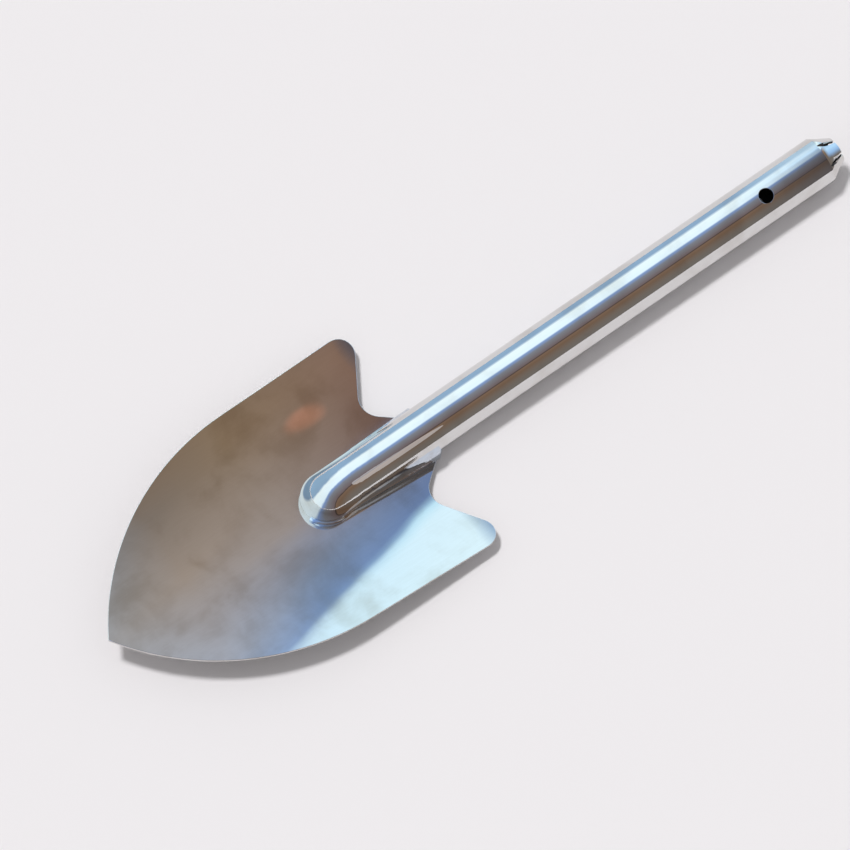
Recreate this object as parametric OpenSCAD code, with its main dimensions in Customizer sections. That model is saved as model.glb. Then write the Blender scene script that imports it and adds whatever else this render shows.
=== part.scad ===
// Hand shovel for metal detecting: a dished pointed blade in the slotted front of a tube handle.
// The handle lies level along X with its underside on the floor, and the blade rises towards its tip.
// The origin is on the floor under the middle of the shovel. +X points to the handle's end.

/* [Handle tube] */
// Outside diameter of the handle tube
tube_d = 25; // [24:0.5:27]
// Wall thickness of the handle tube
tube_wall = 1.5; // [1.2:0.1:2]
// Distance from the blade's datum to the end of the round tube
tube_end = 303; // [250:1:400]
// Distance from the blade's datum to the centre of the domed front
nose_x = 4; // [0:0.5:8]
// Turn of the hole and the end tongues about the handle's axis, away from the blade's face
handle_turn = 14; // [0:1:20]

/* [Hanging hole] */
// Diameter of the hanging hole
hole_d = 7.5; // [5:0.5:10]
// Distance from the end of the round tube to the middle of the hanging hole
hole_inset = 36; // [25:1:60]

/* [End tongues] */
// How many tongues the end of the tube is cut into
tongue_count = 6; // [6]
// Length of a tongue from its fold to its tip
tongue_l = 11.5; // [9:0.5:12]
// Width of a tongue at its fold
tongue_root_w = 12.2; // [11:0.1:12.4]
// Width of a tongue halfway along
tongue_mid_w = 8.7; // [7.5:0.1:9.5]
// Width of a tongue at its tip
tongue_tip_w = 6.8; // [5.5:0.1:7]
// Width of the slit left between two tongues
tongue_slit = 0.3; // [0.2:0.1:0.6]
// Angle that a tongue is folded in by
tongue_fold = 29.8; // [20:0.1:32]

/* [Blade outline] */
// Half width of the blade where its straight sides start
side_half_w = 63.3; // [58:0.1:68]
// Where the straight sides start, along the blade from its datum
side_x = -14.5; // [-20:0.5:-10]
// Angle that each side spreads by towards the shoulders
side_spread = 1.6; // [0:0.1:3]
// Radius of the two curved cutting edges that meet at the tip
edge_r = 134.7; // [120:0.1:150]
// Where the raked rear edges would cross the blade's centre line
rear_x = 26.8; // [22:0.1:32]
// Rake of each rear edge, back towards its shoulder
rear_rake = 32.3; // [25:0.1:38]
// Radius of the rounded shoulder corners
shoulder_r = 8; // [5:0.5:10]
// Radius of the hollow between a shoulder and the handle
notch_r = 10.2; // [8:0.1:12]
// Distance from the blade's centre line to the centre of each hollow
notch_y = 29; // [27:0.5:32]
// Angle of the neck's edges where they run in to the handle
neck_angle = 38; // [30:1:45]
// End of the neck inside the handle, from the blade's datum
neck_x = 62; // [60:0.5:64]

/* [Blade form] */
// Thickness of the blade's sheet
sheet_t = 1.5; // [1.2:0.1:2.5]
// Radius of the trough that the blade is dished to, across its width
dish_r = 480; // [300:10:900]
// Angle between the blade and the handle
blade_rise = 5; // [3:0.5:7]
// Depth of the blade's upper face below the handle's axis at the datum
seat_drop = 3; // [2:0.5:4]

/* [Seams] */
// Radius of the widened seat over the flanks at the neck
flank_r = 14.6; // [14.2:0.1:15]
// How far the flanks' seat drops below the handle's axis at the neck
flank_drop = 4; // [3:0.1:5]
// Length over which the flanks' seat runs out into the handle
flank_runout = 4; // [2:0.5:6]
// Radius of the bead at the foot of the domed front
bead_r = 1.4; // [1.2:0.1:1.6]
// How far round the bead starts from the tip's direction
bead_start = 18; // [0:1:40]
// How much of the foot the bead goes round
bead_sweep = 78; // [50:1:90]
// Thickness of the seam along the blade's underside
under_seam_t = 1.1; // [0.8:0.1:1.5]
// Height of the seam along the blade's underside
under_seam_h = 2.2; // [1.5:0.1:3]

/* [Hidden] */
$fn = 64;
dish_fn = 720;
bead_fn = 144;
slack = 1;
root_lap = tube_wall / 5;
tube_r = tube_d / 2;
bore_r = tube_r - tube_wall;
hole_x = tube_end - hole_inset;
edge_cx = side_x + edge_r * sin(side_spread);
edge_cy = side_half_w - edge_r * cos(side_spread);
tip_x = edge_cx - sqrt(edge_r * edge_r - edge_cy * edge_cy);
rear_k = tan(rear_rake);
rear_c = 1 / cos(rear_rake);
side_k = tan(side_spread);
side_c = 1 / cos(side_spread);
side_y0 = side_half_w - side_x * side_k;
// The shoulder's centre is one corner radius inside both the side and the rear edge
shoulder_y = (side_y0 - shoulder_r * side_c + side_k * (rear_x - shoulder_r * rear_c))
    / (1 - side_k * rear_k);
shoulder_x = rear_x - shoulder_r * rear_c + rear_k * shoulder_y;
// The hollow's centre is one hollow radius outside the rear edge
notch_x = rear_x + notch_r * rear_c + rear_k * notch_y;
neck_start_x = notch_x - notch_r * sin(neck_angle);
neck_start_y = notch_y - notch_r * cos(neck_angle);
neck_half_w = neck_start_y - (neck_x - neck_start_x) * tan(neck_angle);
tip_angle = atan2(-edge_cy, tip_x - edge_cx);
// One side of the blade, from the tip round the cutting edge, the shoulder and the hollow to the neck
half_outline = concat(
    arc([edge_cx, edge_cy], edge_r, tip_angle, 90 + side_spread, 32),
    arc([shoulder_x, shoulder_y], shoulder_r, 90 + side_spread, -rear_rake, 10),
    arc([notch_x, notch_y], notch_r, 180 - rear_rake, 270 - neck_angle, 10),
    [[neck_x, neck_half_w]]
);
other_half = [for (i = [len(half_outline) - 1 : -1 : 1]) [half_outline[i].x, -half_outline[i].y]];
tongue_reach = tongue_l * cos(tongue_fold);
tongue_step = 360 / tongue_count;
sector_half_w = (tube_d - tongue_slit) * tan(tongue_step / 2);
tip_reach = tip_x * cos(blade_rise) - sheet_t * sin(blade_rise);
mid_x = (tube_end + tongue_reach + tip_reach) / 2;
flank_l = neck_x - nose_x;
flank_tilt = atan(flank_drop / flank_l);
foot_r = sqrt(tube_r * tube_r - seat_drop * seat_drop);
bead_y = foot_r * sin(bead_start + bead_sweep / 2);
steel = "#c4c8cc";
weld_steel = "#aab0b6";

// Points along an arc about a centre, in equal steps of angle
function arc(centre, r, from, to, steps) =
    [for (i = [0 : steps]) let (a = from + (to - from) * i / steps) centre + r * [cos(a), sin(a)]];

// A full-length drum with the trough's axis, used for both faces of the sheet
module drum(r) {
    translate([edge_r * 2, 0, dish_r]) rotate([0, -90, 0]) cylinder(r = r, h = edge_r * 4, $fn = dish_fn);
}

// Puts a shape from the blade's own frame on to the handle
module on_handle() {
    translate([0, 0, tube_r - seat_drop]) rotate([0, blade_rise, 0]) children();
}

module blade_sheet() {
    on_handle() intersection() {
        translate([0, 0, -sheet_t * 2]) linear_extrude(shoulder_r * 2) polygon(concat(half_outline, other_half));
        difference() {
            drum(dish_r + sheet_t);
            drum(dish_r);
        }
    }
}

module rod(r, x0, x1) {
    translate([x0, 0, tube_r]) rotate([0, 90, 0]) cylinder(r = r, h = x1 - x0);
}

// The sector of the tube's end that belongs to one tongue, less its half of each slit
module tongue_sector() {
    translate([tube_end, 0, tube_r]) rotate([90, 0, 90]) linear_extrude(tube_d) polygon([
        [0, tongue_slit],
        [sector_half_w, tube_d],
        [-sector_half_w, tube_d]
    ]);
}

// One tongue of the tube's wall, folded in about the end of the round tube
module tongue() {
    intersection() {
        translate([tube_end, 0, tube_d]) rotate([0, tongue_fold, 0]) translate([0, 0, -tube_d]) intersection() {
            difference() {
                rod(tube_r, -slack, tongue_l);
                rod(bore_r, -slack * 2, tongue_l + slack);
            }
            translate([0, 0, tube_r]) linear_extrude(tube_d) polygon([
                [-slack, -tongue_root_w / 2],
                [0, -tongue_root_w / 2],
                [tongue_l / 2, -tongue_mid_w / 2],
                [tongue_l, -tongue_tip_w / 2],
                [tongue_l, tongue_tip_w / 2],
                [tongue_l / 2, tongue_mid_w / 2],
                [0, tongue_root_w / 2],
                [-slack, tongue_root_w / 2]
            ]);
        }
        tongue_sector();
    }
}

// Turns a shape about the handle's axis
module turned(angle) {
    translate([0, 0, tube_r]) rotate([angle, 0, 0]) translate([0, 0, -tube_r]) children();
}

module handle_tube() {
    color(steel) translate([-mid_x, 0, 0]) difference() {
        rod(tube_r, nose_x, tube_end);
        rod(bore_r, nose_x - slack, tube_end + slack);
        blade_sheet();
        turned(handle_turn) translate([hole_x, 0, -slack]) cylinder(d = hole_d, h = tube_d + slack * 2);
    }
}

module end_tongue(place) {
    color(steel) translate([-mid_x, 0, 0]) turned(handle_turn + place * tongue_step) tongue();
}

module end_tongue_upper() {
    end_tongue(0);
}

module end_tongue_right_upper() {
    end_tongue(1);
}

module end_tongue_right_lower() {
    end_tongue(2);
}

module end_tongue_lower() {
    end_tongue(3);
}

module end_tongue_left_lower() {
    end_tongue(4);
}

module end_tongue_left_upper() {
    end_tongue(5);
}

// The domed front of the handle, one half above the blade and one below
module nose_shell() {
    difference() {
        translate([nose_x, 0, tube_r]) sphere(r = tube_r);
        translate([nose_x, 0, tube_r]) sphere(r = bore_r);
        translate([nose_x, -tube_d, -tube_d]) cube([tube_d, tube_d * 2, tube_d * 3]);
    }
}

module nose_cap_upper() {
    color(steel) translate([-mid_x, 0, 0]) intersection() {
        nose_shell();
        on_handle() drum(dish_r);
    }
}

module nose_cap_lower() {
    color(steel) translate([-mid_x, 0, 0]) difference() {
        nose_shell();
        on_handle() drum(dish_r + sheet_t);
    }
}

// The widened seat that fills the corner between the handle and the blade's upper face
module flank_seat() {
    translate([nose_x, 0, tube_r]) rotate([0, 90 + flank_tilt, 0]) {
        cylinder(r1 = tube_r - root_lap, r2 = flank_r, h = flank_l);
        translate([0, 0, flank_l]) cylinder(r1 = flank_r, r2 = bore_r, h = flank_runout);
    }
}

module flank_weld(side) {
    color(weld_steel) translate([-mid_x, 0, 0]) intersection() {
        difference() {
            flank_seat();
            rod(tube_r, -tube_d, tube_end);
        }
        on_handle() drum(dish_r);
        translate([-tube_d, side > 0 ? 0 : -tube_d, 0]) cube([tube_end, tube_d, tube_d * 2]);
    }
}

module flank_weld_left() {
    flank_weld(1);
}

module flank_weld_right() {
    flank_weld(-1);
}

// The bead round the right-hand foot of the domed front, resting on the slope of the sheet there
module nose_weld() {
    color(weld_steel) translate([-mid_x, 0, 0]) intersection() {
        difference() {
            on_handle() translate([nose_x, 0, bead_r / 2]) rotate([0, 0, 180 + bead_start])
                rotate_extrude(angle = bead_sweep, $fn = bead_fn)
                    translate([foot_r + bead_r / 3, 0]) circle(r = bead_r, $fn = bead_fn / 2);
            translate([nose_x, 0, tube_r]) sphere(r = tube_r, $fn = bead_fn);
            rod(tube_r, nose_x, tube_end, $fn = bead_fn);
        }
        on_handle() translate([0, -bead_y, dish_r - sqrt(dish_r * dish_r - bead_y * bead_y)])
            rotate([-asin(bead_y / dish_r), 0, 0]) translate([-tube_d, -tube_d, 0])
                cube([tube_d * 2, tube_d * 2, tube_d]);
    }
}

module under_weld(side) {
    color(weld_steel) translate([-mid_x, 0, 0]) intersection() {
        difference() {
            rod(tube_r + under_seam_t, nose_x, neck_start_x);
            rod(tube_r, -tube_d, tube_end);
            on_handle() drum(dish_r + sheet_t);
        }
        on_handle() drum(dish_r + sheet_t + under_seam_h);
        translate([-tube_d, side > 0 ? 0 : -tube_d, 0]) cube([tube_end, tube_d, tube_d]);
    }
}

module under_weld_left() {
    under_weld(1);
}

module under_weld_right() {
    under_weld(-1);
}

module blade() {
    color(steel) translate([-mid_x, 0, 0]) blade_sheet();
}

blade();
handle_tube();
end_tongue_upper();
end_tongue_right_upper();
end_tongue_right_lower();
end_tongue_lower();
end_tongue_left_lower();
end_tongue_left_upper();
nose_cap_upper();
nose_cap_lower();
flank_weld_left();
flank_weld_right();
nose_weld();
under_weld_left();
under_weld_right();
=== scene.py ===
import math
import bpy
import bmesh
from mathutils import Matrix, Vector


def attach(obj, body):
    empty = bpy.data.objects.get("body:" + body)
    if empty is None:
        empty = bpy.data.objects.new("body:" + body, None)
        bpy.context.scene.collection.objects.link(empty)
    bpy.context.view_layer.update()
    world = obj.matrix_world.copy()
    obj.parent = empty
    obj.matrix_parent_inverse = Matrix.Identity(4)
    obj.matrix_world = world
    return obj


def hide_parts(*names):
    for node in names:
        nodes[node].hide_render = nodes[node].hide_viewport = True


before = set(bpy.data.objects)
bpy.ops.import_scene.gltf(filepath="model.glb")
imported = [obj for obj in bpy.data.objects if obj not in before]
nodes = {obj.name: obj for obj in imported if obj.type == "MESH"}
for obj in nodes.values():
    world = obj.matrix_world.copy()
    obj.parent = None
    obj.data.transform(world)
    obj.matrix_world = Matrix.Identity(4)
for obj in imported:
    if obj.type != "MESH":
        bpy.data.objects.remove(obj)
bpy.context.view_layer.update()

mm = 0.001


def hexColour(code, strength=1.0):
    # sRGB hex to linear
    parts = [int(code[i:i + 2], 16) / 255 for i in (1, 3, 5)]
    linear = [c / 12.92 if c <= 0.04045 else ((c + 0.055) / 1.055) ** 2.4 for c in parts]
    return [c * strength for c in linear] + [1.0]


def addNode(tree, kind, settings=None, inputs=None):
    # settings are node properties; inputs are values or (node, output) links
    node = tree.nodes.new(kind)
    for name, value in (settings or {}).items():
        setattr(node, name, value)
    for name, value in (inputs or {}).items():
        if isinstance(value, tuple) and hasattr(value[0], "outputs"):
            tree.links.new(value[0].outputs[value[1]], node.inputs[name])
        else:
            node.inputs[name].default_value = value
    return node


def fillRamp(node, stops):
    # a colour ramp from (position, colour) pairs
    ramp = node.color_ramp
    while len(ramp.elements) > 1:
        ramp.elements.remove(ramp.elements[-1])
    ramp.elements[0].position, ramp.elements[0].color = stops[0]
    for place, colour in stops[1:]:
        ramp.elements.new(place).color = colour


shot = {
    "azimuth": -129.1,      # degrees, seen from the blade's right and a little past its tip
    "elevation": 69.05,
    "roll": 2.9,
    "distance": 3.858,
    "aim": (-30.36, 1.05, 15.71),   # mm, near the joint of blade and handle
    "lens": 338.8,
    "sensorWidth": 36,
    "clipEnd": 100,         # metres
}


def placeCamera():
    az, el, roll = (math.radians(shot[k]) for k in ("azimuth", "elevation", "roll"))
    back = Vector((math.cos(el) * math.cos(az), math.cos(el) * math.sin(az), math.sin(el)))
    level = Vector((-math.sin(az), math.cos(az), 0))
    right = math.cos(roll) * level + math.sin(roll) * back.cross(level)
    up = back.cross(right)
    camera = bpy.data.objects.new("camera", bpy.data.cameras.new("camera"))
    bpy.context.scene.collection.objects.link(camera)
    camera.data.sensor_width = shot["sensorWidth"]
    camera.data.lens = shot["lens"]
    camera.data.clip_end = shot["clipEnd"]
    turn = Matrix((right, up, back)).transposed().to_4x4()
    camera.matrix_world = Matrix.Translation(Vector(shot["aim"]) * mm + back * shot["distance"]) @ turn
    bpy.context.scene.camera = camera


placeCamera()
print("camera placed")

studio = {
    "floor": "#eeebed",
    "floorSize": 40,        # metres
    "floorRough": 0.9,
    "floorShine": 0.1,
    "softLight": 0.44,      # even light from all round, for everything but the mirror
    "keyAzimuth": 118,      # degrees, from the blade's left
    "keyElevation": 70,
    "keySoftness": 9,
    "keyStrength": 1.9,
    # a small pale card held over the neck, only for its reflection there
    "cardAt": (14, -218, 286),       # mm
    "cardSize": (66, 170),
    "cardFacing": (-65, 0, 12),
    "cardPower": 0.011,
    "cardTint": (0.9, 0.94, 1.0),
}


def buildStage():
    bm = bmesh.new()
    bmesh.ops.create_grid(bm, x_segments=1, y_segments=1, size=studio["floorSize"] / 2)
    mesh = bpy.data.meshes.new("floor")
    bm.to_mesh(mesh)
    bm.free()
    floor = bpy.data.objects.new("floor", mesh)
    bpy.context.scene.collection.objects.link(floor)
    mat = bpy.data.materials.new("matt_painted_board")
    mat.use_nodes = True
    tree = mat.node_tree
    tree.nodes.clear()
    shader = addNode(tree, "ShaderNodeBsdfPrincipled", {}, {"Roughness": studio["floorRough"],
                     "Specular IOR Level": studio["floorShine"], "Base Color": hexColour(studio["floor"])})
    addNode(tree, "ShaderNodeOutputMaterial", {}, {"Surface": (shader, "BSDF")})
    mesh.materials.append(mat)


def addSun(name, azimuth, elevation, softness, strength, inSteel):
    lamp = bpy.data.lights.new(name, "SUN")
    lamp.energy = strength
    lamp.angle = math.radians(softness)
    sun = bpy.data.objects.new(name, lamp)
    sun.rotation_euler = (0, math.radians(90 - elevation), math.radians(azimuth))
    sun.visible_glossy = inSteel
    bpy.context.scene.collection.objects.link(sun)


def addCard():
    lamp = bpy.data.lights.new("card", "AREA")
    lamp.shape = "ELLIPSE"
    lamp.size, lamp.size_y = (side * mm for side in studio["cardSize"])
    lamp.energy = studio["cardPower"]
    lamp.color = studio["cardTint"]
    card = bpy.data.objects.new("card", lamp)
    at = Vector(studio["cardAt"]) * mm
    toward = Vector(studio["cardFacing"]) * mm - at
    card.location = at
    card.rotation_euler = toward.to_track_quat("-Z", "Y").to_euler()
    card.visible_camera = False
    card.visible_diffuse = False
    bpy.context.scene.collection.objects.link(card)


# what the polished steel mirrors: one long bright window, a dim warm room and a grey-blue gap between them.
# Each row is a slice of the room from its right (below 0) over the top to its left, in the colours that
# show in the steel.
surroundings = {
    "slant": 0.46,          # the window's sill runs askew to the handle
    "slantFrom": 0.43,
    "span": 1.2,
    "rows": [
        # straight over the handle
        (0.272, [(-0.90, "#686460"), (-0.60, "#6c5848"), (-0.46, "#745f50"), (-0.41, "#3c3634"),
                 (-0.37, "#6a5e60"), (0.05, "#787c84"), (0.28, "#7c98c8"), (0.38, "#dcf2fe"),
                 (0.86, "#e4f6fc"), (0.96, "#88a6c4"), (1.10, "#88a8c4")]),
        # over the handle's end, where the room is darker
        (0.288, [(-0.90, "#484448"), (-0.50, "#3a3636"), (0.20, "#505460"), (0.55, "#7090b8"),
                 (0.68, "#acd6fa"), (1.10, "#c4dce8")]),
        # over the blade's neck
        (0.305, [(-0.96, "#686460"), (-0.20, "#6c6460"), (0.12, "#80685a"), (0.25, "#70584e"),
                 (0.38, "#68789a"), (0.427, "#627aa4"), (0.437, "#b8e4f8"), (0.46, "#d4f0fd"),
                 (0.80, "#e0f8fc"), (1.00, "#9ab2c4")]),
        # over the middle of the blade
        (0.43, [(-1.00, "#686460"), (-0.20, "#746250"), (0.10, "#84725e"), (0.28, "#948c88"),
                (0.38, "#7c90ae"), (0.433, "#7492be"), (0.443, "#ccecfc"), (0.80, "#e0f8fc"),
                (1.00, "#9ab2c4")]),
        # past the blade's tip
        (0.52, [(-1.00, "#686460"), (0.00, "#746250"), (0.10, "#786f67"), (0.22, "#968b81"),
                (0.38, "#a0a8b6"), (0.442, "#94aed2"), (0.46, "#c0dcf0"), (0.80, "#e0f8fc"),
                (1.00, "#9ab2c4")]),
        # low beyond the handle's end
        (0.85, [(-1.00, "#8a8684"), (-0.60, "#6e6a66"), (-0.33, "#8fb4de"), (0.10, "#b0d8f8"),
                (1.00, "#9ab2c4")]),
    ],
    "gain": 1.5,            # makes up for the third of the light that the steel keeps
    "glow": (0.366, 0.132, 0.921),   # a small warm patch high over the handle
    "glowColour": "#a87f6b",
    "glowSize": (0.99972, 0.99997),
}


def buildSurroundings():
    world = bpy.data.worlds.new("room")
    bpy.context.scene.world = world
    world.use_nodes = True
    tree = world.node_tree
    tree.nodes.clear()
    s = surroundings
    way = addNode(tree, "ShaderNodeTexCoord")
    parts = addNode(tree, "ShaderNodeSeparateXYZ", {}, {"Vector": (way, "Generated")})
    ahead = addNode(tree, "ShaderNodeMath", {"operation": "SUBTRACT"}, {0: (parts, "X"), 1: s["slantFrom"]})
    skewed = addNode(tree, "ShaderNodeMath", {"operation": "MULTIPLY_ADD"},
                     {0: (ahead, 0), 1: -s["slant"], 2: (parts, "Y")})
    across = addNode(tree, "ShaderNodeMapRange", {},
                     {"Value": (skewed, 0), "From Min": -s["span"], "From Max": s["span"]})
    seen = None
    for i, (place, stops) in enumerate(s["rows"]):
        row = addNode(tree, "ShaderNodeValToRGB", {}, {"Fac": (across, "Result")})
        fillRamp(row, [((at / s["span"] + 1) / 2, hexColour(code)) for at, code in stops])
        if seen is None:
            seen = (row, "Color")
            continue
        step = addNode(tree, "ShaderNodeMapRange", {},
                       {"Value": (parts, "X"), "From Min": s["rows"][i - 1][0], "From Max": place})
        mixed = addNode(tree, "ShaderNodeMix", {"data_type": "RGBA"},
                        {0: (step, "Result"), 6: seen, 7: (row, "Color")})
        seen = (mixed, 2)
    near = addNode(tree, "ShaderNodeVectorMath", {"operation": "DOT_PRODUCT"},
                   {0: (way, "Generated"), 1: Vector(s["glow"]).normalized()})
    patch = addNode(tree, "ShaderNodeMapRange", {"interpolation_type": "SMOOTHSTEP"},
                    {"Value": (near, "Value"), "From Min": s["glowSize"][0], "From Max": s["glowSize"][1]})
    warm = addNode(tree, "ShaderNodeMix", {"data_type": "RGBA"},
                   {0: (patch, "Result"), 6: seen, 7: hexColour(s["glowColour"])})
    room = addNode(tree, "ShaderNodeBackground", {}, {"Color": (warm, 2), "Strength": s["gain"]})
    even = addNode(tree, "ShaderNodeBackground", {},
                   {"Color": hexColour("#ffffff"), "Strength": studio["softLight"]})
    ray = addNode(tree, "ShaderNodeLightPath")
    both = addNode(tree, "ShaderNodeMixShader", {}, {0: (ray, "Is Glossy Ray"), 1: (even, 0), 2: (room, 0)})
    addNode(tree, "ShaderNodeOutputWorld", {}, {"Surface": (both, 0)})


buildStage()
addSun("key", studio["keyAzimuth"], studio["keyElevation"], studio["keySoftness"],
       studio["keyStrength"], False)
addCard()
buildSurroundings()
bpy.context.scene.view_settings.view_transform = "Standard"
print("stage, lights and surroundings ready")

# the same sizes as the CAD, in mm
form = {
    "tubeRadius": 12.5,
    "datumToMiddle": 94.166,
    "noseAt": 4,
    "seatDrop": 3,
    "bladeRise": 5,
    "dish": 480,
    "rimBevel": 0.25,
    "gridStep": 3,          # facets of the blade's faces
    "sharpAngle": 30,       # degrees, edges sharper than this stay crisp
    "nearlySame": 0.99,     # facets this close to the true curve take its normals
    "roughlySame": 0.5,
    # faces turned inwards past this take the bore steel's painted shade
    "facesInward": -0.3,
    "mergeWithin": 0.002,
    "flatWithin": 0.3,      # degrees
    "cutWithin": 0.001,
    "shearedAngle": 60,     # degrees, sheared and drilled edges are sharper than this
    "skin": 0.2,            # an edge within this of the tube's outside is at its skin
    # end tongue faces below this, with their sawn sides and tips, take the bore steel's painted shade
    "sawnSides": 0.3,
    "weldBlend": 4,         # mm of height over which a seam turns away from the tube
    "runOut": 9,            # mm at the back over which a flank seam turns into tube
    "runOutPlain": 0.4,     # length of its very end shaded as plain tube, as a share of that
    "weldSink": 0.25,       # its feathered edge is just under the tube's skin
    "holeAt": 267,
    "tubeEnd": 303,
}

steels = {
    # 304 stainless sheet buffed by hand: clear reflections under a cloudy haze, faint streaks and a slightly
    # wavy face
    "buffed_304_sheet": {
        "colour": "#dad8d7", "haze": "#c2bcb5", "rough": (0.020, 0.050), "cloud": 26,
        "wave": (48, 0.16), "hammer": None, "streak": (5.0, 0.5), "streakTurn": 35,
        "bow": (930, 15), "joint": (13, 20, 0.07)},
    # drawn 304 stainless tube polished along its length: sharp reflections, long fine lines, a dented nose
    "mirror_polished_304_tube": {
        "colour": "#dddcdb", "haze": "#cfccc9", "rough": (0.012, 0.035), "cloud": 18,
        "wave": (45, 0.016), "hammer": (6, 0.10, 4, 55), "streak": (30.0, 0.35), "streakTurn": 0,
        "bow": None, "joint": None},
    # ground and buffed TIG seam: small lumps, a slightly duller polish and a blue tint that is a painted
    # reflection of the blue window light
    "buffed_304_weld": {
        "colour": "#ccd6e2", "haze": "#c0c4ca", "rough": (0.03, 0.07), "cloud": 6,
        "wave": (9, 0.03), "hammer": None, "streak": (1.5, 0.5), "streakTurn": 20,
        "bow": None, "joint": None},
    # inside of the tube as it was drawn, rough and unpolished; its dark grey is painted shade, also put on
    # the end tongues' sawn sides and tips
    "mill_finish_304_bore_painted_shade": {
        "colour": "#55514e", "haze": "#3d3a38", "rough": (0.40, 0.60), "cloud": 12,
        "wave": (20, 0.01), "hammer": None, "streak": (30.0, 0.5), "streakTurn": 0,
        "bow": None, "joint": None},
}

# how the haze and the streaks act, alike on all the steels
buffing = {
    "hazeEdges": (0.42, 0.72),    # where a cloud of haze begins and is full in its noise
    "streakWear": 0.35,           # how much the streaks add to the wear beside the haze
    "streakLong": 12,             # lines are drawn this much longer than they are wide
    "streakFine": 2,
    "streakDepth": 0.0002,        # mm
    "roughWear": (0.1, 1.2),      # wear from which, and up to which, the polish turns duller
    "hazeWear": (0.12, 1.3),      # and the same for the colour of the haze
}


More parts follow.
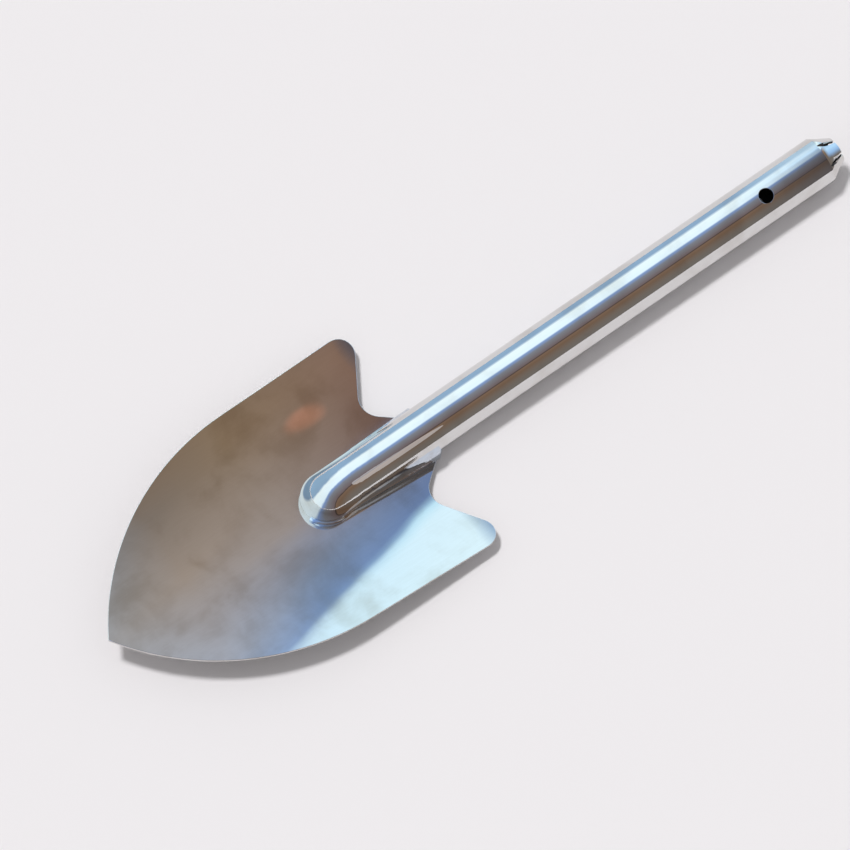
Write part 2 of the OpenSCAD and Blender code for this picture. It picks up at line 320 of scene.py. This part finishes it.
def makeSteel(name):
    s = steels[name]
    middle = form["datumToMiddle"]
    mat = bpy.data.materials.new(name)
    mat.use_nodes = True
    tree = mat.node_tree
    tree.nodes.clear()
    where = addNode(tree, "ShaderNodeTexCoord")
    inMm = addNode(tree, "ShaderNodeVectorMath", {"operation": "SCALE"},
                   {0: (where, "Object"), "Scale": 1 / mm})
    along = addNode(tree, "ShaderNodeSeparateXYZ", {}, {"Vector": (inMm, 0)})
    # haze left by the buffing wheel, in soft-edged clouds
    cloud = addNode(tree, "ShaderNodeTexNoise", {},
                    {"Vector": (inMm, 0), "Scale": 1 / s["cloud"], "Detail": 4, "Roughness": 0.5,
                     "Distortion": 0.25})
    haze = addNode(tree, "ShaderNodeMapRange", {"interpolation_type": "SMOOTHSTEP"},
                   {"Value": (cloud, "Fac"), "From Min": buffing["hazeEdges"][0],
                    "From Max": buffing["hazeEdges"][1]})
    # long fine lines: noise squeezed across the line
    fine = 1 / s["streak"][1] / buffing["streakFine"]
    turned = addNode(tree, "ShaderNodeMapping", {}, {"Vector": (inMm, 0),
                     "Rotation": (0, 0, math.radians(s["streakTurn"])),
                     "Scale": (1 / s["streak"][0] / buffing["streakLong"], fine, fine)})
    streak = addNode(tree, "ShaderNodeTexNoise", {},
                     {"Vector": (turned, 0), "Scale": 1, "Detail": 3, "Roughness": 0.7})
    wear = addNode(tree, "ShaderNodeMath", {"operation": "MULTIPLY_ADD"},
                   {0: (streak, "Fac"), 1: buffing["streakWear"], 2: (haze, 0)})
    rough = addNode(tree, "ShaderNodeMapRange", {}, {"Value": (wear, 0), "From Min": buffing["roughWear"][0],
                    "From Max": buffing["roughWear"][1], "To Min": s["rough"][0], "To Max": s["rough"][1]})
    roughness = (rough, "Result")
    if s["joint"]:
        # the wheel can't reach into the corner beside the handle, so the sheet stays duller there
        near, far, extra = s["joint"]
        ahead = addNode(tree, "ShaderNodeMath", {"operation": "SUBTRACT"},
                        {0: form["noseAt"] - middle, 1: (along, "X")})
        ahead = addNode(tree, "ShaderNodeMath", {"operation": "MAXIMUM"}, {0: (ahead, 0), 1: 0})
        flat = addNode(tree, "ShaderNodeCombineXYZ", {}, {"X": (ahead, 0), "Y": (along, "Y")})
        reach = addNode(tree, "ShaderNodeVectorMath", {"operation": "LENGTH"}, {0: (flat, 0)})
        corner = addNode(tree, "ShaderNodeMapRange", {"interpolation_type": "SMOOTHSTEP"},
                         {"Value": (reach, "Value"), "From Min": near, "From Max": far, "To Min": extra,
                          "To Max": 0})
        summed = addNode(tree, "ShaderNodeMath", {"operation": "ADD"}, {0: roughness, 1: (corner, "Result")})
        roughness = (summed, 0)
    worn = addNode(tree, "ShaderNodeMapRange", {}, {"Value": (wear, 0), "From Min": buffing["hazeWear"][0],
                    "From Max": buffing["hazeWear"][1]})
    colour = addNode(tree, "ShaderNodeMix", {"data_type": "RGBA"},
                     {0: (worn, "Result"), 6: hexColour(s["colour"]), 7: hexColour(s["haze"])})
    # slow waves in the face bend the reflections
    wave = addNode(tree, "ShaderNodeTexNoise", {},
                   {"Vector": (inMm, 0), "Scale": 1 / s["wave"][0], "Detail": 1.5, "Roughness": 0.4})
    height = addNode(tree, "ShaderNodeMath", {"operation": "MULTIPLY"},
                     {0: (wave, "Fac"), 1: s["wave"][1] * mm})
    height = addNode(tree, "ShaderNodeMath", {"operation": "MULTIPLY_ADD"},
                     {0: (streak, "Fac"), 1: buffing["streakDepth"] * mm, 2: (height, 0)})
    if s["hammer"]:
        # shallow dents where the nose was hammered and ground to shape, fading out along the handle
        size, depth, start, end = s["hammer"]
        dents = addNode(tree, "ShaderNodeTexNoise", {},
                        {"Vector": (inMm, 0), "Scale": 1 / size, "Detail": 2, "Roughness": 0.5})
        fade = addNode(tree, "ShaderNodeMapRange", {"interpolation_type": "SMOOTHSTEP"},
                       {"Value": (along, "X"), "From Min": start - middle, "From Max": end - middle,
                        "To Min": depth * mm, "To Max": 0})
        height = addNode(tree, "ShaderNodeMath", {"operation": "MULTIPLY_ADD"},
                         {0: (dents, "Fac"), 1: (fade, "Result"), 2: (height, 0)})
    if s["bow"]:
        # the sheet is bowed a little along its length too
        radius, flatAt = s["bow"]
        off = addNode(tree, "ShaderNodeMath", {"operation": "SUBTRACT"},
                      {0: (along, "X"), 1: flatAt - middle})
        square = addNode(tree, "ShaderNodeMath", {"operation": "MULTIPLY"}, {0: (off, 0), 1: (off, 0)})
        height = addNode(tree, "ShaderNodeMath", {"operation": "MULTIPLY_ADD"},
                         {0: (square, 0), 1: mm / (2 * radius), 2: (height, 0)})
    bump = addNode(tree, "ShaderNodeBump", {}, {"Height": (height, 0), "Strength": 1, "Distance": 1})
    shader = addNode(tree, "ShaderNodeBsdfPrincipled", {}, {"Metallic": 1.0, "Base Color": (colour, 2),
                     "Roughness": roughness, "Normal": (bump, 0)})
    addNode(tree, "ShaderNodeOutputMaterial", {}, {"Surface": (shader, "BSDF")})
    return mat


steel = {name: makeSteel(name) for name in steels}
print("steel made")


def mergedCopy(nodeName):
    # a welded copy of the CAD node as a bmesh
    bm = bmesh.new()
    bm.from_mesh(nodes[nodeName].data)
    bmesh.ops.remove_doubles(bm, verts=bm.verts, dist=form["mergeWithin"] * mm)
    bmesh.ops.dissolve_limit(bm, angle_limit=math.radians(form["flatWithin"]), verts=bm.verts, edges=bm.edges)
    return bm


def cutBy(bm, planes):
    for point, normal in planes:
        everything = bm.verts[:] + bm.edges[:] + bm.faces[:]
        bmesh.ops.bisect_plane(bm, geom=everything, plane_co=point, plane_no=normal,
                               dist=form["cutWithin"] * mm)


def shearedEdges(bm):
    bmesh.ops.recalc_face_normals(bm, faces=bm.faces)
    least = math.radians(form["shearedAngle"])
    return [e for e in bm.edges if len(e.link_faces) == 2 and e.calc_face_angle(0) > least]


def breakEdges(bm, edges):
    # a small radius on the sheared edges
    bmesh.ops.bevel(bm, geom=edges, offset=form["rimBevel"] * mm, affect="EDGES", segments=2, profile=0.5,
                    material=-1, loop_slide=False)


def finishPiece(bm, name, matName, nodeNames, trueNormal, dullShadedBelow=-1):
    # faces turned inwards by more than this threshold get the rough bore steel, whose dark grey is painted
    # shade
    bmesh.ops.recalc_face_normals(bm, faces=bm.faces)
    for face in bm.faces:
        face.smooth = True
        arm = fromAxis(face.calc_center_median())
        face.material_index = 1 if face.normal.dot(arm.normalized()) < dullShadedBelow else 0
    for edge in bm.edges:
        edge.smooth = len(edge.link_faces) == 2 and edge.calc_face_angle(0) < math.radians(form["sharpAngle"])
    mesh = bpy.data.meshes.new(name)
    bm.to_mesh(mesh)
    bm.free()
    # the formed faces shade by their true curve instead of their flat facets
    normals = [n.vector.copy() for n in mesh.corner_normals]
    for poly in mesh.polygons:
        for k in poly.loop_indices:
            co = mesh.vertices[mesh.loops[k].vertex_index].co
            normals[k] = trueNormal(co, poly.normal, normals[k])
    mesh.normals_split_custom_set(normals)
    mesh.materials.append(steel[matName])
    if dullShadedBelow > -1:
        mesh.materials.append(steel["mill_finish_304_bore_painted_shade"])
    piece = bpy.data.objects.new(name, mesh)
    bpy.context.scene.collection.objects.link(piece)
    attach(piece, "root")
    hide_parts(*nodeNames)


def fromAxis(co):
    # straight out from the handle's axis
    return Vector((0, co.y, co.z - form["tubeRadius"] * mm))


def ifClose(exact, faceNormal, smooth):
    if exact.dot(faceNormal) < 0:
        exact = -exact
    return exact if exact.dot(faceNormal) > form["nearlySame"] else smooth


def bladeFrame():
    # the blade's own frame in metres: datum on the upper face, turned down towards the handle
    place = Vector((-form["datumToMiddle"], 0, form["tubeRadius"] - form["seatDrop"])) * mm
    return Matrix.Translation(place) @ Matrix.Rotation(math.radians(form["bladeRise"]), 4, "Y")


def makeBlade():
    bm = mergedCopy("blade")
    frameOut = bladeFrame()
    frameIn = frameOut.inverted()
    breakEdges(bm, shearedEdges(bm))
    bmesh.ops.transform(bm, matrix=frameIn, verts=bm.verts)
    lows = [min(v.co[i] for v in bm.verts) for i in range(2)]
    highs = [max(v.co[i] for v in bm.verts) for i in range(2)]
    for axis, normal in ((0, Vector((1, 0, 0))), (1, Vector((0, 1, 0)))):
        count = int((highs[axis] - lows[axis]) / (form["gridStep"] * mm))
        cutBy(bm, [(normal * (lows[axis] + i * form["gridStep"] * mm), normal) for i in range(1, count)])
    bmesh.ops.transform(bm, matrix=frameOut, verts=bm.verts)

    def dishNormal(co, faceNormal, smooth):
        local = frameIn @ co
        up = Vector((0, -local.y, form["dish"] * mm - local.z)).normalized()
        return ifClose(frameOut.to_3x3() @ up, faceNormal, smooth)

    finishPiece(bm, "dished_blade", "buffed_304_sheet", ["blade"], dishNormal)


nose = {
    "cuts": (1, 2, 4, 6, 8, 10, 13, 16),
    "runOut": 16,           # mm over which the dome's curve eases in to the straight tube
    "ease": 20,             # degrees of that curve left where the dome starts
}


def noseNormal(co, radial):
    # one easy curve from the tip of the nose on to the straight of the tube
    out = co.x / mm + form["datumToMiddle"] - form["noseAt"]
    if out >= 0:
        turn = nose["ease"] * max(0, 1 - out / nose["runOut"]) ** 2
    else:
        drop = math.asin(min(1, -out / form["tubeRadius"])) / math.radians(90)
        turn = nose["ease"] + (90 - nose["ease"]) * drop
    turn = math.radians(turn)
    return radial * math.cos(turn) + Vector((-math.sin(turn), 0, 0))


def makeTube():
    bm = mergedCopy("handle_tube")
    start = (form["noseAt"] - form["datumToMiddle"]) * mm
    cutBy(bm, [(Vector((start + c * mm, 0, 0)), Vector((1, 0, 0))) for c in nose["cuts"]])
    # a broken edge round the hanging hole
    hole = (form["holeAt"] - form["datumToMiddle"]) * mm
    reach = form["tubeRadius"] / 2 * mm
    skin = (form["tubeRadius"] - form["skin"]) * mm
    breakEdges(bm, [e for e in shearedEdges(bm)
                    if all(abs(v.co.x - hole) < reach and fromAxis(v.co).length > skin for v in e.verts)])

    def tubeNormal(co, faceNormal, smooth):
        radial = fromAxis(co).normalized()
        if radial.dot(faceNormal) > form["nearlySame"]:
            return noseNormal(co, radial)
        return ifClose(radial, faceNormal, smooth)

    finishPiece(bm, "drilled_handle", "mirror_polished_304_tube", ["handle_tube"],
                tubeNormal, dullShadedBelow=form["facesInward"])


def makeDome(nodeName, pieceName):
    centre = Vector((form["noseAt"] - form["datumToMiddle"], 0, form["tubeRadius"])) * mm

    def domeNormal(co, faceNormal, smooth):
        exact = (co - centre).normalized()
        if exact.dot(faceNormal) > form["nearlySame"]:
            return noseNormal(co, fromAxis(co).normalized())
        return ifClose(exact, faceNormal, smooth)

    finishPiece(mergedCopy(nodeName), pieceName, "mirror_polished_304_tube", [nodeName],
                domeNormal, dullShadedBelow=form["facesInward"])


tongues = {
    "names": ("upper", "right_upper", "right_lower", "lower", "left_lower", "left_upper"),
    "firstTurn": 14,        # degrees, the same turn as the hanging hole
    "bend": 4,              # mm over which the fold is rounded
    "cuts": (1, 2.2, 4, 7),
    "saw": 0.17,            # share of the width lost to the filed sides of the slits
}


def makeTongue(i, part):
    name = "end_tongue_" + part
    bm = mergedCopy(name)
    end = (form["tubeEnd"] - form["datumToMiddle"]) * mm
    axis = Matrix.Translation((0, 0, form["tubeRadius"] * mm))
    angle = math.radians(tongues["firstTurn"] + i * 360 / len(tongues["names"]))
    out = axis @ Matrix.Rotation(angle, 4, "X")
    bmesh.ops.transform(bm, matrix=out.inverted(), verts=bm.verts)
    cutBy(bm, [(Vector((end + c * mm, 0, 0)), Vector((1, 0, 0))) for c in tongues["cuts"]])
    for v in bm.verts:
        v.co.y *= 1 - tongues["saw"] * min(1, (v.co.x - end) / (tongues["bend"] * mm))
    bmesh.ops.transform(bm, matrix=out, verts=bm.verts)

    def foldNormal(co, faceNormal, smooth):
        radial = fromAxis(co).normalized()
        k = min(1, max(0, (co.x - end) / (tongues["bend"] * mm)))
        if radial.dot(faceNormal) < 0:
            radial = -radial
        return radial.lerp(smooth, k).normalized() if radial.dot(faceNormal) > form["roughlySame"] else smooth

    finishPiece(bm, name.replace("end", "folded"), "mirror_polished_304_tube", [name],
                foldNormal, dullShadedBelow=form["sawnSides"])


def makeWeld(nodeName):
    start = (form["noseAt"] - form["datumToMiddle"]) * mm

    def blended(co, faceNormal, smooth):
        # the seam runs out smoothly on to the tube
        arm = fromAxis(co)
        left = min(1, max(0, (tail - co.x) / (form["runOut"] * mm) - form["runOutPlain"]))
        k = left * min(1, max(0, (arm.length / mm - form["tubeRadius"]) / form["weldBlend"]))
        if arm.normalized().dot(faceNormal) < form["roughlySame"] * left:
            return smooth
        return noseNormal(co, arm.normalized()).lerp(smooth, k).normalized()

    bm = mergedCopy(nodeName)
    tail = max(v.co.x for v in bm.verts) if nodeName.startswith("flank") else math.inf
    for v in bm.verts:
        arm = fromAxis(v.co)
        if v.co.x > start and arm.length / mm - form["tubeRadius"] < form["weldSink"]:
            v.co -= arm.normalized() * form["weldSink"] * mm
    finishPiece(bm, nodeName + "_seam", "buffed_304_weld", [nodeName], blended)


makeBlade()
makeTube()
makeDome("nose_cap_upper", "dome_above_blade")
makeDome("nose_cap_lower", "dome_below_blade")
for i, part in enumerate(tongues["names"]):
    makeTongue(i, part)
for nodeName in ("flank_weld_left", "flank_weld_right", "nose_weld", "under_weld_left", "under_weld_right"):
    makeWeld(nodeName)
print("pieces made")
